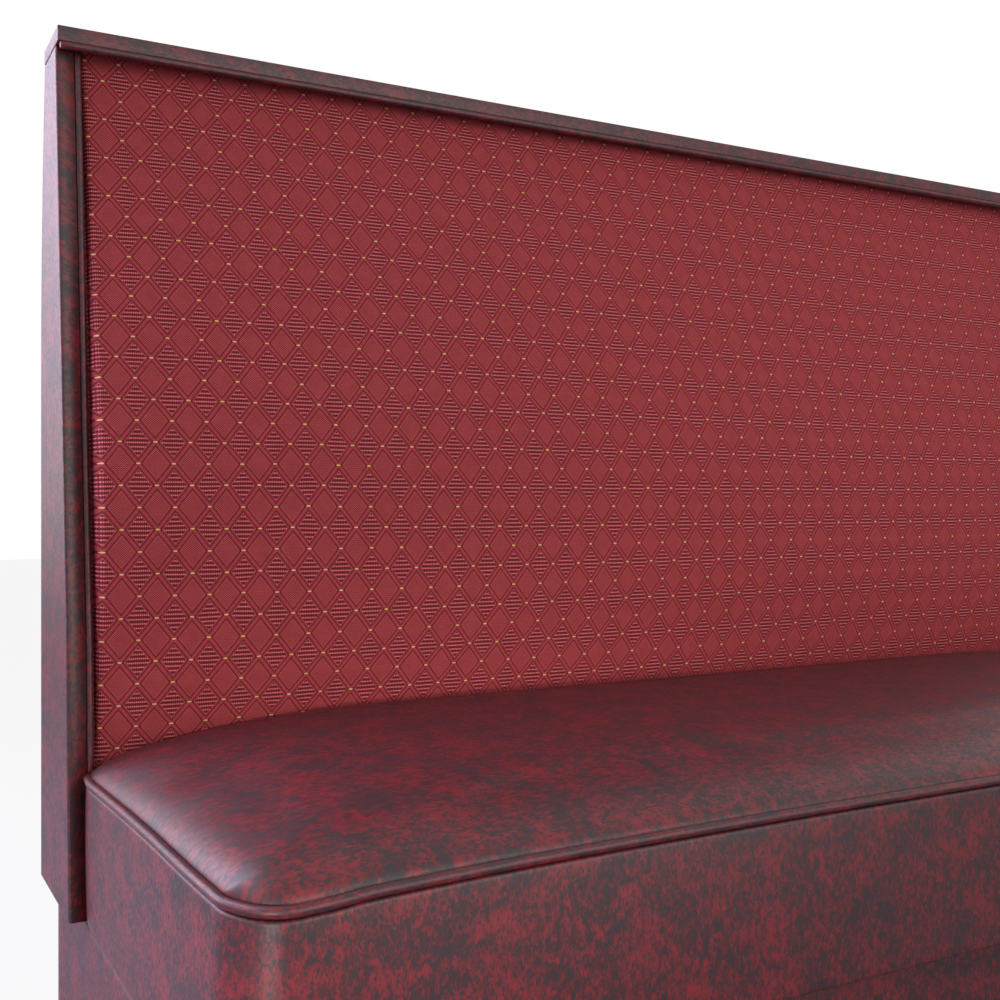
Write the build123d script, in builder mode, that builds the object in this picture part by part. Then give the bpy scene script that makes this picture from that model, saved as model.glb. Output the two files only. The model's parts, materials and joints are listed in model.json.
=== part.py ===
from build123d import *
from math import exp, hypot, sqrt
import os

os.makedirs("parts", exist_ok=True)

# Restaurant booth, single sided. Millimetres, +X along the booth, +Y to the rear, +Z up.
# The origin is on the floor, under the middle of the booth.

# Overall sizes
booth_length = 1676.0
booth_height = 1219.0
booth_depth = 710.0

# Heights
base_height = 246.0
boxing_height = 154.0
crown_height = 49.0
cap_thickness = 17.0
glide_height = 8.0

# Upholstery
skin = 2.0
boxing_padding = 10.0
fabric_thickness = 1.5
cambric_thickness = 1.0
welt_radius = 4.5
small_welt_radius = 3.4
welt_proud = 1.0
fit_gap = 0.2
soft_gap = 1.2
edge_round = 3.0

# Boards
ply = 18.0
deck_thickness = 15.0
back_board_thickness = 9.0
rear_board_thickness = 4.0

# Plan of the seat and the base
seat_inset = 15.0
corner_radius = 55.0
welt_set_in = 1.5
toe_recess = 75.0
seat_rear_depth = 205.0

# Crown of the seat
end_reach = 400.0
front_reach = 190.0
least_crown = 1.0
roll_reach_shares = (0.05, 0.2, 0.5)
roll_height_shares = (0.312, 0.6, 0.866)
seat_section_shares = (0, 0.004, 0.012, 0.025, 0.045, 0.072, 0.15, 0.27, 0.49, 0.73, 1)

# Side view of the end panel, measured from the plumb rear face
panel_depth_low = 190.0
panel_depth_knee = 174.0
panel_knee_height = 555.0
knee_round = 900.0
panel_top_depth = 74.0
rear_plumb_height = 850.0
rear_draw_in = 29.0
cap_overhang = 18.0
cap_lap = 20.0
cap_rebate = 4.0

# Back board and its pad
board_set_back_low = 27.0
board_set_back_top = 41.0
pad_thickness = 106.0
pad_end_gap = 0.6
pad_top_gap = 1.2
pad_roll = 8.0
pad_reach = 248.0
pad_level_shares = (0, 0.2, 0.351, 0.475, 0.65, 1)
pad_middle_shares = (0.396, 0.887, 1, 0.962, 0.766, 0.24)
pad_end_shares = (0.12, 0.49, 0.637, 0.62, 0.49, 0.184)
pad_edge_shares = (0.12, 0.28, 0.32, 0.33, 0.33, 0.15)
pad_section_shares = (0, 0.0012, 0.004, 0.01, 0.07, 0.18, 0.36, 0.62, 1)

# Frame members
rib_spacing = 409.0
rail_width = 70.0
rail_heights = (560.0, 820.0)
top_rail_height = 72.0
bottom_rail_thickness = 20.0
block_size = 44.0
block_height = 60.0

# Fasteners
bolt_radius = 4.0
bolt_gap = 0.3
thread_gap = 0.1
bolt_head_radius = 7.5
bolt_head_height = 5.5
bolt_spare = 4.0
washer_radius = 10.0
washer_thickness = 1.6
plate_length = 100.0
plate_width = 24.0
plate_thickness = 2.5
plate_setback = 97.0
glide_radius = 14.0
overrun = 5.0

# Places worked out from the sizes
half_length = booth_length / 2
rear_y = booth_depth / 2
boxing_front_y = -booth_depth / 2 + welt_radius - welt_set_in
end_panel_thickness = ply + skin
frame_half = half_length - end_panel_thickness
base_half = frame_half
seat_half = half_length - seat_inset
boxing_thickness = skin + boxing_padding
seat_frame_half = seat_half - boxing_thickness
seat_top = base_height + boxing_height
rail_top = seat_top - deck_thickness
welt_middle_height = seat_top + fit_gap + welt_radius
welt_top = welt_middle_height + welt_radius
cap_bottom = booth_height - cap_thickness
top_rear_y = rear_y - rear_draw_in
top_front_y = top_rear_y - panel_top_depth
cap_front_y = top_front_y - cap_overhang
base_front_y = boxing_front_y + toe_recess
seat_frame_front_y = boxing_front_y + boxing_thickness
seat_frame_round = corner_radius - boxing_thickness
seat_rear_y = rear_y - seat_rear_depth
rib_front_y = seat_rear_y + bottom_rail_thickness
rib_top = cap_bottom - top_rail_height
rear_inset = skin + rear_board_thickness
rear_rise = cap_bottom - rear_plumb_height
rear_radius = (rear_rise**2 + rear_draw_in**2) / (2 * rear_draw_in)
rib_places = (-rib_spacing, 0, rib_spacing)


def rear_line(z, inset):
    """Y of the rear face at a height, moved in by a wall."""
    if z <= rear_plumb_height:
        return rear_y - inset
    return rear_y - rear_radius + sqrt((rear_radius - inset) ** 2 - (z - rear_plumb_height) ** 2)


def panel_front_line(z):
    """Y of the end panel's front edge at a height."""
    low_y, knee_y = rear_y - panel_depth_low, rear_y - panel_depth_knee
    if z <= panel_knee_height:
        return low_y + (knee_y - low_y) * (z - base_height) / (panel_knee_height - base_height)
    return knee_y + (top_front_y - knee_y) * (z - panel_knee_height) / (cap_bottom - panel_knee_height)


board_low_y = panel_front_line(seat_top) + board_set_back_low
board_run = top_front_y + board_set_back_top - board_low_y
board_rise = cap_bottom - seat_top
board_slant = hypot(board_run, board_rise)
board_step = back_board_thickness * board_slant / board_rise


def board_line(z):
    """Y of the back board's front face at a height."""
    return board_low_y + board_run * (z - seat_top) / board_rise


def keep(piece, name):
    """Label a finished piece and write it."""
    piece.part.label = name
    export_step(piece.part, f"parts/{name}.step")


def keep_pair(left, name):
    """Write a left piece and its mirror image."""
    with BuildPart() as right:
        mirror(left.part, about=Plane.YZ)
    keep(left, f"{name}_left")
    keep(right, f"{name}_right")


def block(low, high, mode=Mode.ADD):
    """Box between two corners."""
    with Locations(tuple((a + b) / 2 for a, b in zip(low, high))):
        Box(*(b - a for a, b in zip(low, high)), mode=mode)


# Bolt, plate and glide places
bolt_places = [(side * rib_spacing / 2, (base_height + rail_top) / 2) for side in (-3, -1, 1, 3)]
plate_middles = (base_front_y + plate_setback, seat_rear_y - plate_setback)
plate_places = [(x + ply / 2, y) for x in rib_places for y in plate_middles]
block_outer_x = base_half - skin - ply
block_lefts = (
    -block_outer_x,
    -rib_spacing + ply / 2,
    rib_spacing - ply / 2 - block_size,
    block_outer_x - block_size,
)
block_fronts = (base_front_y + skin + ply, rear_y - ply - block_size)
block_corners = [(x, y) for x in block_lefts for y in block_fronts]


# End panels: a board wrapped in vinyl, with a welt on its inner front edge
def panel_side(inset=0.0):
    """Side view of the wrapped end panel, moved in by its skin for the board inside it."""
    with BuildSketch() as side:
        with BuildLine():
            low_rear, plumb_top = (rear_y, base_height), (rear_y, rear_plumb_height)
            FilletPolyline(
                low_rear,
                (panel_front_line(base_height), base_height),
                (panel_front_line(panel_knee_height), panel_knee_height),
                (top_front_y, cap_bottom),
                (top_rear_y, cap_bottom),
                radius=[0, knee_round, 0],
            )
            TangentArc(plumb_top, (top_rear_y, cap_bottom), tangent=(0, 1))
            Line(plumb_top, low_rear)
        make_face()
        if inset:
            offset(amount=-inset, kind=Kind.INTERSECTION, mode=Mode.REPLACE)
    return side.sketch


with BuildPart() as end_panel_board:
    with BuildSketch(Plane.YZ.offset(-frame_half)):
        add(panel_side(skin))
    extrude(amount=-ply)
keep_pair(end_panel_board, "end_panel_board")

with BuildPart() as end_panel_cover:
    with BuildSketch(Plane.YZ.offset(-frame_half)):
        add(panel_side())
    extrude(amount=-end_panel_thickness)
    fillet(end_panel_cover.faces().sort_by(Axis.X)[0].edges(), radius=edge_round)
    with BuildSketch(Plane.YZ.offset(-frame_half)):
        add(panel_side(skin))
    extrude(amount=-ply, mode=Mode.SUBTRACT)
keep_pair(end_panel_cover, "end_panel_cover")

with BuildPart() as end_panel_welt:
    with BuildLine(Plane.YZ.offset(-frame_half + fit_gap + small_welt_radius)) as welt_path:
        welt_in = small_welt_radius - welt_proud
        FilletPolyline(
            (panel_front_line(seat_top) + welt_in, seat_top + soft_gap),
            (panel_front_line(panel_knee_height) + welt_in, panel_knee_height),
            (panel_front_line(cap_bottom) + welt_in, cap_bottom - soft_gap),
            radius=knee_round,
        )
    with BuildSketch(Plane(origin=welt_path.line @ 0, z_dir=welt_path.line % 0)):
        Circle(small_welt_radius)
    sweep(path=welt_path.line)
keep_pair(end_panel_welt, "end_panel_welt")


# Top cap: a board wrapped in vinyl, lapped underneath, rebated for the top of the pad, with a bead in front
with BuildPart() as cap_board:
    block(
        (-half_length + skin, cap_front_y + skin, cap_bottom + skin),
        (half_length - skin, top_rear_y - skin, booth_height - skin),
    )
    block(
        (-half_length + cap_lap, cap_front_y + cap_lap, cap_bottom + skin),
        (half_length - cap_lap, board_line(cap_bottom) + soft_gap, cap_bottom + skin + cap_rebate),
        Mode.SUBTRACT,
    )
keep(cap_board, "cap_board")

with BuildPart() as cap_cover:
    block((-half_length, cap_front_y, cap_bottom), (half_length, top_rear_y, booth_height))
    cap_corners = cap_cover.edges().filter_by(Axis.Z)
    fillet(cap_corners + cap_cover.faces().sort_by(Axis.Z)[-1].edges(), radius=edge_round)
    block(
        (-half_length + skin, cap_front_y + skin, cap_bottom + skin),
        (half_length - skin, top_rear_y - skin, booth_height - skin),
        Mode.SUBTRACT,
    )
    block(
        (-half_length + cap_lap, cap_front_y + cap_lap, cap_bottom),
        (half_length - cap_lap, top_rear_y - cap_lap, cap_bottom + skin),
        Mode.SUBTRACT,
    )
keep(cap_cover, "cap_cover")

with BuildPart() as cap_bead:
    bead_y = cap_front_y + edge_round + small_welt_radius / 2
    bead_z = cap_bottom - fit_gap - small_welt_radius
    with BuildSketch(Plane.YZ.offset(-half_length + edge_round)):
        with Locations((bead_y, bead_z)):
            Circle(small_welt_radius)
    extrude(amount=booth_length - 2 * edge_round)
keep(cap_bead, "cap_bead")


# Back frame: ribs on the base, rails let into their front edges, and the top and bottom rails
def rail_plane(z):
    """Plane on the rear of the back board at a height, facing the rear."""
    return Plane(
        origin=(0, board_line(z) + board_step, z),
        x_dir=(1, 0, 0),
        z_dir=(0, board_rise, -board_run),
    )


def rails(gap=0.0, mode=Mode.ADD):
    """Middle rails, or the notches that take them."""
    with Locations(*(rail_plane(z) for z in rail_heights)):
        Box(
            2 * frame_half,
            rail_width + 2 * gap,
            ply + gap,
            align=(Align.CENTER, Align.CENTER, Align.MIN),
            mode=mode,
        )


def back_rib(x):
    """One rib, its near face at x."""
    top_y = rear_line(rib_top, rear_inset)
    plumb_top = (rear_y - rear_inset, rear_plumb_height)
    with BuildPart() as rib:
        with BuildSketch(Plane.YZ.offset(x)):
            with BuildLine():
                Polyline(
                    plumb_top,
                    (rear_y - rear_inset, base_height),
                    (rib_front_y, base_height),
                    (rib_front_y, seat_top),
                    (board_line(seat_top) + board_step, seat_top),
                    (board_line(rib_top) + board_step, rib_top),
                    (top_y, rib_top),
                )
                TangentArc(plumb_top, (top_y, rib_top), tangent=(0, 1))
            make_face()
        extrude(amount=ply)
        rails(fit_gap, Mode.SUBTRACT)
    return rib


keep_pair(back_rib(-frame_half), "back_rib_end")

for number, place in enumerate(rib_places, 1):
    keep(back_rib(place - ply / 2), f"back_rib_middle_{number}")

with BuildPart() as back_rails:
    rails()
keep(back_rails, "back_rails")

with BuildPart() as back_top_rail:
    rail_rear = [(rear_line(z, rear_inset), z) for z in (rib_top, (rib_top + cap_bottom) / 2, cap_bottom)]
    with BuildSketch(Plane.YZ.offset(-frame_half)):
        with BuildLine():
            Polyline(
                rail_rear[0],
                (board_line(rib_top) + board_step, rib_top),
                (board_line(cap_bottom) + board_step, cap_bottom),
                rail_rear[2],
            )
            ThreePointArc(*rail_rear)
        make_face()
    extrude(amount=2 * frame_half)
keep(back_top_rail, "back_top_rail")

with BuildPart() as back_bottom_rail:
    block((-frame_half, seat_rear_y, base_height), (frame_half, rib_front_y, seat_top))
    with Locations(Plane(origin=(0, seat_rear_y, 0), x_dir=(1, 0, 0), z_dir=(0, -1, 0))):
        with Locations(*bolt_places):
            Hole(bolt_radius + bolt_gap)
keep(back_bottom_rail, "back_bottom_rail")

with BuildPart() as back_board:
    with BuildSketch(Plane.YZ.offset(-frame_half)):
        Polygon(
            (board_line(seat_top), seat_top),
            (board_line(seat_top) + board_step, seat_top),
            (board_line(cap_bottom) + board_step, cap_bottom),
            (board_line(cap_bottom), cap_bottom),
            align=None,
        )
    extrude(amount=2 * frame_half)
keep(back_board, "back_board")


# Rear: a thin board bent over the ribs, and its vinyl
def rear_sheet(outer, inner):
    """Bent sheet between two depths in from the rear face."""
    with BuildPart() as sheet:
        with BuildSketch(Plane.YZ.offset(-frame_half)):
            with BuildLine():
                for inset in (outer, inner):
                    plumb = (rear_y - inset, rear_plumb_height)
                    Line((rear_y - inset, base_height), plumb)
                    TangentArc(plumb, (rear_line(cap_bottom, inset), cap_bottom), tangent=(0, 1))
                Line((rear_y - outer, base_height), (rear_y - inner, base_height))
                Line((rear_line(cap_bottom, outer), cap_bottom), (rear_line(cap_bottom, inner), cap_bottom))
            make_face()
        extrude(amount=2 * frame_half)
    return sheet


keep(rear_sheet(skin, rear_inset), "rear_board")
keep(rear_sheet(0, skin), "rear_cover")


# Back pad: foam crowned up, down and along, under a fabric cover
pad_half = frame_half - fit_gap - 2 * small_welt_radius - pad_end_gap
pad_bottom = seat_top + fit_gap
pad_rise = cap_bottom + skin + cap_rebate - pad_top_gap - pad_bottom


def pad_depth(level, reach):
    """Thickness of the pad at one of its levels, at a distance in from its end."""
    edge, end, middle = pad_edge_shares[level], pad_end_shares[level], pad_middle_shares[level]
    if reach < pad_roll:
        share = edge + (end - edge) * sqrt(1 - (1 - reach / pad_roll) ** 2)
    else:
        share = end + (middle - end) * (1 - exp(-(reach - pad_roll) / pad_reach))
    return pad_thickness * share


def pad_section(side, reach, inset):
    """Upright section of the pad at a distance in from its end."""
    x = side * (pad_half - inset - reach * (pad_half - inset) / pad_half)
    with BuildSketch(Plane.YZ.offset(x)) as section:
        with BuildLine():
            face = []
            for level, share in enumerate(pad_level_shares):
                z = pad_bottom + (pad_rise - inset) * share
                face.append((board_line(z) - pad_depth(level, reach) + inset, z))
            ThreePointArc(face[0], face[1], face[2])
            ThreePointArc(face[2], face[3], face[4])
            high, low = face[-1][1], face[0][1]
            Polyline(face[4], face[5], (board_line(high), high), (board_line(low), low), face[0])
        make_face()
    return section.sketch


def back_pad(inset):
    """The pad, moved in by its cover."""
    reaches = [share * pad_half for share in pad_section_shares]
    sections = [pad_section(-1, reach, inset) for reach in reaches]
    sections += [pad_section(1, reach, inset) for reach in reversed(reaches[:-1])]
    with BuildPart() as pad:
        loft(sections, ruled=True)
    return pad


back_foam = back_pad(fabric_thickness)
keep(back_foam, "back_foam")

with BuildPart() as back_fabric:
    add(back_pad(0).part)
    add(back_foam.part, mode=Mode.SUBTRACT)
keep(back_fabric, "back_fabric")


# Seat cushion: foam crowned from its ends and front, under a vinyl cover
cushion_inset = welt_set_in + welt_radius + fit_gap
cushion_half = seat_half - cushion_inset
cushion_front_y = boxing_front_y + cushion_inset
cushion_round = corner_radius - cushion_inset
cushion_end_rear_y = panel_front_line(seat_top) - welt_proud - soft_gap


def pad_face_low(z, reach):
    """Y of the pad's face low down, by a parabola through its three lowest levels."""
    heights = [pad_bottom + pad_rise * share for share in pad_level_shares[:3]]
    places = [board_line(h) - pad_depth(level, reach) for level, h in enumerate(heights)]
    total = 0
    for here, place in enumerate(places):
        weight = 1
        for other in range(3):
            if other != here:
                weight *= (z - heights[other]) / (heights[here] - heights[other])
        total += weight * place
    return total


def cushion_section(side, reach, inset):
    """Upright section of the cushion at a distance in from its end."""
    half, round_in = cushion_half - inset, cushion_round - inset
    x = side * (half - reach * half / cushion_half)
    front = cushion_front_y + inset
    if reach < round_in:
        front += round_in - sqrt(round_in**2 - (round_in - reach) ** 2)
    rise = max(least_crown, crown_height * sqrt(1 - (1 - min(1, reach / end_reach)) ** 2))
    edge = welt_top - inset
    pad_reach_here = max(0, reach - (cushion_half - pad_half))
    pad_y = pad_face_low(welt_top + crown_height, pad_reach_here)
    rear = min(cushion_end_rear_y, pad_y - soft_gap) - inset
    roll = [
        (front + front_reach * along, edge + rise * up)
        for along, up in zip((0, *roll_reach_shares, 1), (0, *roll_height_shares, 1))
    ]
    with BuildSketch(Plane.YZ.offset(x)) as section:
        with BuildLine():
            ThreePointArc(roll[0], roll[1], roll[2])
            ThreePointArc(roll[2], roll[3], roll[4])
            Polyline(roll[4], (rear, edge + rise), (rear, seat_top), (front, seat_top), roll[0])
        make_face()
    return section.sketch


def seat_cushion(inset):
    """The cushion, moved in by its cover."""
    reaches = [share * cushion_half for share in seat_section_shares]
    sections = [cushion_section(-1, reach, inset) for reach in reaches]
    sections += [cushion_section(1, reach, inset) for reach in reversed(reaches[:-1])]
    with BuildPart() as cushion:
        loft(sections, ruled=True)
    return cushion


seat_foam = seat_cushion(skin)
keep(seat_foam, "seat_foam")

with BuildPart() as seat_cover:
    add(seat_cushion(0).part)
    add(seat_foam.part, mode=Mode.SUBTRACT)
keep(seat_cover, "seat_cover")


# Seat frame: rails with round corner blocks, cross rails, a deck, and the padded boxing round it
def seat_plan(half, front, rear, radius):
    """Plan of the seat with round front corners."""
    with BuildSketch() as plan:
        with BuildLine():
            FilletPolyline((-half, rear), (-half, front), (half, front), (half, rear), radius=radius)
            Line((-half, rear), (half, rear))
        make_face()
    return plan.sketch


with BuildPart() as seat_deck:
    with BuildSketch(Plane.XY.offset(rail_top)):
        add(seat_plan(seat_frame_half, seat_frame_front_y, seat_rear_y, seat_frame_round))
    extrude(amount=deck_thickness)
keep(seat_deck, "seat_deck")

rail_end = seat_frame_half - seat_frame_round
with BuildPart() as seat_front_rail:
    block((-rail_end, seat_frame_front_y, base_height), (rail_end, seat_frame_front_y + ply, rail_top))
keep(seat_front_rail, "seat_front_rail")

with BuildPart() as seat_rear_rail:
    block((-seat_frame_half, seat_rear_y - ply, base_height), (seat_frame_half, seat_rear_y, rail_top))
    with Locations(Plane(origin=(0, seat_rear_y - ply, 0), x_dir=(1, 0, 0), z_dir=(0, -1, 0))):
        with Locations(*bolt_places):
            Hole(bolt_radius + bolt_gap)
keep(seat_rear_rail, "seat_rear_rail")

with BuildPart() as seat_side_rail:
    block(
        (-seat_frame_half, seat_frame_front_y + seat_frame_round, base_height),
        (-seat_frame_half + ply, seat_rear_y - ply, rail_top),
    )
keep_pair(seat_side_rail, "seat_side_rail")

with BuildPart() as seat_corner_block:
    with BuildSketch(Plane.XY.offset(base_height)):
        corner = (-rail_end, seat_frame_front_y + seat_frame_round)
        with Locations(corner):
            Circle(seat_frame_round)
            Rectangle(
                seat_frame_round, seat_frame_round, align=(Align.MAX, Align.MAX), mode=Mode.INTERSECT
            )
    extrude(amount=rail_top - base_height)
keep_pair(seat_corner_block, "seat_corner_block")

for number, place in enumerate(rib_places, 1):
    with BuildPart() as seat_cross_rail:
        block(
            (place - ply / 2, seat_frame_front_y + ply, base_height),
            (place + ply / 2, seat_rear_y - ply, rail_top),
        )
        keep(seat_cross_rail, f"seat_cross_rail_{number}")

def seat_band(outer, inner, low_end, high_end):
    """Upright band round the seat, between two depths in from its outside, up to its ends at the rear."""
    with BuildPart() as band:
        with BuildSketch(Plane.XY.offset(base_height)):
            add(seat_plan(seat_half - outer, boxing_front_y + outer, rear_y, corner_radius - outer))
            within_y, within_rear_y = boxing_front_y + inner, rear_y + overrun
            within = seat_plan(seat_half - inner, within_y, within_rear_y, corner_radius - inner)
            add(within, mode=Mode.SUBTRACT)
        extrude(amount=boxing_height)
        with BuildSketch(Plane.YZ.offset(-half_length)):
            Polygon(
                (low_end, base_height),
                (high_end, seat_top),
                (rear_y + overrun, seat_top),
                (rear_y + overrun, base_height),
                align=None,
            )
        extrude(amount=booth_length, mode=Mode.SUBTRACT)
    return band


band_ends = [panel_front_line(z) - fit_gap for z in (base_height, seat_top)]
keep(seat_band(0, skin, *band_ends), "seat_boxing")
keep(seat_band(skin, boxing_thickness, seat_rear_y, seat_rear_y), "boxing_foam")

with BuildPart() as seat_welt:
    welt_half = seat_half - welt_set_in
    welt_front_y = boxing_front_y + welt_set_in
    welt_rear_y = panel_front_line(seat_top) - fit_gap
    with BuildLine(Plane.XY.offset(welt_middle_height)) as seat_welt_path:
        FilletPolyline(
            (-welt_half, welt_rear_y),
            (-welt_half, welt_front_y),
            (welt_half, welt_front_y),
            (welt_half, welt_rear_y),
            radius=corner_radius - welt_set_in,
        )
    with BuildSketch(Plane(origin=seat_welt_path.line @ 0, z_dir=seat_welt_path.line % 0)):
        Circle(welt_radius)
    sweep(path=seat_welt_path.line)
keep(seat_welt, "seat_welt")

with BuildPart() as dust_cover:
    with BuildSketch(Plane.XY.offset(base_height)):
        add(seat_plan(seat_frame_half, seat_frame_front_y, base_front_y - fit_gap, seat_frame_round))
    extrude(amount=-cambric_thickness)
keep(dust_cover, "dust_cover")


# Base: a box of boards with dividers, wrapped in vinyl at its front and sides
with BuildPart() as base_front_board:
    block(
        (-base_half + skin, base_front_y + skin, glide_height),
        (base_half - skin, base_front_y + skin + ply, base_height),
    )
keep(base_front_board, "base_front_board")

with BuildPart() as base_rear_board:
    block((-base_half + skin, rear_y - ply, glide_height), (base_half - skin, rear_y, base_height))
keep(base_rear_board, "base_rear_board")

with BuildPart() as base_side_board:
    block(
        (-base_half + skin, base_front_y + skin + ply, glide_height),
        (-base_half + skin + ply, rear_y - ply, base_height),
    )
keep_pair(base_side_board, "base_side_board")

for number, place in enumerate(rib_places, 1):
    with BuildPart() as base_divider:
        block(
            (place - ply / 2, base_front_y + skin + ply, glide_height),
            (place + ply / 2, rear_y - ply, base_height),
        )
        keep(base_divider, f"base_divider_{number}")

with BuildPart() as base_cover:
    block((-base_half, base_front_y, glide_height), (base_half, rear_y, base_height))
    fillet(base_cover.edges().filter_by(Axis.Z).group_by(Axis.Y)[0], radius=edge_round)
    block(
        (-base_half + skin, base_front_y + skin, glide_height),
        (base_half - skin, rear_y + overrun, base_height),
        Mode.SUBTRACT,
    )
keep(base_cover, "base_cover")

with BuildPart() as glide_blocks:
    for x, y in block_corners:
        block((x, y, glide_height), (x + block_size, y + block_size, glide_height + block_height))
keep(glide_blocks, "glide_blocks")

with BuildPart() as glides:
    with BuildSketch():
        with Locations(*((x + block_size / 2, y + block_size / 2) for x, y in block_corners)):
            Circle(glide_radius)
    extrude(amount=glide_height)
keep(glides, "glides")


# Joints between the parts of the frame: plates across seat and base, bolts through seat and back
with BuildPart() as joining_plates:
    for x, y in plate_places:
        block(
            (x, y - plate_width / 2, base_height - plate_length / 2),
            (x + plate_thickness, y + plate_width / 2, base_height + plate_length / 2),
        )
keep(joining_plates, "joining_plates")

bolt_grip = ply + bottom_rail_thickness
bolt_face = Plane(origin=(0, seat_rear_y - ply, 0), x_dir=(1, 0, 0), z_dir=(0, -1, 0))

with BuildPart() as back_bolts:
    with BuildSketch(bolt_face.offset(washer_thickness)):
        with Locations(*bolt_places):
            RegularPolygon(bolt_head_radius, 6)
    extrude(amount=bolt_head_height)
    with BuildSketch(bolt_face.offset(washer_thickness)):
        with Locations(*bolt_places):
            Circle(bolt_radius)
    extrude(amount=-(bolt_grip + 2 * washer_thickness + bolt_head_height + bolt_spare))
keep(back_bolts, "back_bolts")

with BuildPart() as back_nuts:
    with BuildSketch(bolt_face.offset(-bolt_grip - washer_thickness)):
        with Locations(*bolt_places):
            RegularPolygon(bolt_head_radius, 6)
            Circle(bolt_radius + thread_gap, mode=Mode.SUBTRACT)
    extrude(amount=-bolt_head_height)
keep(back_nuts, "back_nuts")

with BuildPart() as back_washers:
    for face, way in ((bolt_face, 1), (bolt_face.offset(-bolt_grip), -1)):
        with BuildSketch(face):
            with Locations(*bolt_places):
                Circle(washer_radius)
                Circle(bolt_radius + bolt_gap, mode=Mode.SUBTRACT)
        extrude(amount=way * washer_thickness)
keep(back_washers, "back_washers")
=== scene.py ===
"""Restaurant booth seat: upholstery and frame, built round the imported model. Metres, the row's frame."""

import json
import math
from random import Random

import bpy
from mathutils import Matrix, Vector


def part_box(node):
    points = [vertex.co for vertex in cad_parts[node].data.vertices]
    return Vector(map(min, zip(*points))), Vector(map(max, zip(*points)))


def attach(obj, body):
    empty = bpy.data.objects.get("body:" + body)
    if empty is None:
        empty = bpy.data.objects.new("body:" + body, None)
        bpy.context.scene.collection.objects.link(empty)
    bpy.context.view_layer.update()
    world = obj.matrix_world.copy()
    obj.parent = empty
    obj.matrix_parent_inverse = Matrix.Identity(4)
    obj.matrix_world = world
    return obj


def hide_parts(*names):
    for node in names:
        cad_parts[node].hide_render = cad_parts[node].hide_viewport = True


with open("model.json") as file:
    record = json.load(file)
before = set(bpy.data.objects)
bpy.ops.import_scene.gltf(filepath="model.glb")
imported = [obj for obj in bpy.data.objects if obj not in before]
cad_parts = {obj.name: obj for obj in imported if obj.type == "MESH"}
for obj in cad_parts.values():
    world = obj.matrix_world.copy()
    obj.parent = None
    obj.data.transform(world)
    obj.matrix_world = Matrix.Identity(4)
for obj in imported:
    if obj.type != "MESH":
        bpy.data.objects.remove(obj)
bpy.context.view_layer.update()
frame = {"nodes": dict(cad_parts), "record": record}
scene = bpy.context.scene
MM = 0.001


def in_mm(*numbers):
    """Lengths in metres, given in millimetres."""
    return tuple(number * MM for number in numbers)


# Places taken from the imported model
CAP_LOW, CAP_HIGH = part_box("cap_cover")
BEAD_LOW, BEAD_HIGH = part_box("cap_bead")
REAR_LOW, REAR_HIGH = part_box("rear_cover")
PANEL_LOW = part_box("end_panel_cover_left")[0]
BOXING_LOW, BOXING_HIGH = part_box("seat_boxing")
FOAM_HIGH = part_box("boxing_foam")[1]
COVER_LOW, COVER_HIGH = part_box("seat_cover")
PAD_LOW, PAD_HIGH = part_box("back_fabric")
BASE_LOW, BASE_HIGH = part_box("base_cover")
DUST_LOW, DUST_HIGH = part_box("dust_cover")
HALF_LENGTH = CAP_HIGH.x
FRAME_HALF = REAR_HIGH.x
REAR_Y = REAR_HIGH.y
SEAT_TOP = BOXING_HIGH.z
CAP_BOTTOM = CAP_LOW.z

# Covers: their thickness, and their top edge just under the cap
SKIN = 1.8 * MM
COVER_TOP = CAP_BOTTOM - 0.2 * MM

# Side view of the end panels and the rear
PANEL_LOW_DEPTH = 190 * MM
KNEE_DEPTH = 174 * MM
KNEE_HEIGHT = 555 * MM
PANEL_TOP_DEPTH = 74 * MM
PLUMB_HEIGHT = 850 * MM
REAR_DRAW_IN = 29 * MM
TOP_REAR_Y = REAR_Y - REAR_DRAW_IN
TOP_FRONT_Y = TOP_REAR_Y - PANEL_TOP_DEPTH

# Seat
CORNER_RADIUS = 55 * MM
BOXING_DEPTH = BOXING_HIGH.x - FOAM_HIGH.x + 10 * MM
PANEL_GAP = 1 * MM
BACK_FRAME_Y = 142 * MM
COVER_HALF = COVER_HIGH.x
COVER_FRONT = COVER_LOW.y
COVER_ROUND = CORNER_RADIUS - (BOXING_HIGH.x - COVER_HALF)

# Welts and bead
WELT_RADIUS = 4.5 * MM
WELT_SET_IN = 1.5 * MM
SMALL_WELT_RADIUS = 4 * MM
BEAD_RADIUS = 4.6 * MM

# Crown of the seat: its height, and how far in from each edge it rises
CROWN = 46 * MM
END_REACH = 480 * MM
SHOULDER_REACH = 150 * MM
FRONT_REACH = 190 * MM
REAR_ROLL = 14 * MM

# Mitre of the crown at the front corners: sharp there, and soft further off
MITRE_SOFT = 3
MITRE_SHARPER = 14
MITRE_REACH = 95 * MM

# How the sewn seam is drawn in at the front corners and tucked in at its rear ends
CORNER_PULL = 9 * MM
PULL_REACH = 85 * MM
PULL_HELD = 0.35
PULL_DEPTH = 45 * MM
END_TUCK = 3.5 * MM
TUCK_REACH = 45 * MM

# Rise of the seam over its straight line, by y at the sides and by the distance from the corner in front
SIDE_SEAM_PLACES = in_mm(-345, -256, -156, -81, 4, 102, 145, 180)
SIDE_SEAM_RISES = in_mm(-4.5, 0, 2, 1, -1.8, -6, -7.8, -8.2)
FRONT_SEAM_PLACES = in_mm(0, 28, 59, 200, 450, 790)
FRONT_SEAM_RISES = in_mm(-4.5, -3, 0, 4.5, 7.5, 8)

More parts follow.
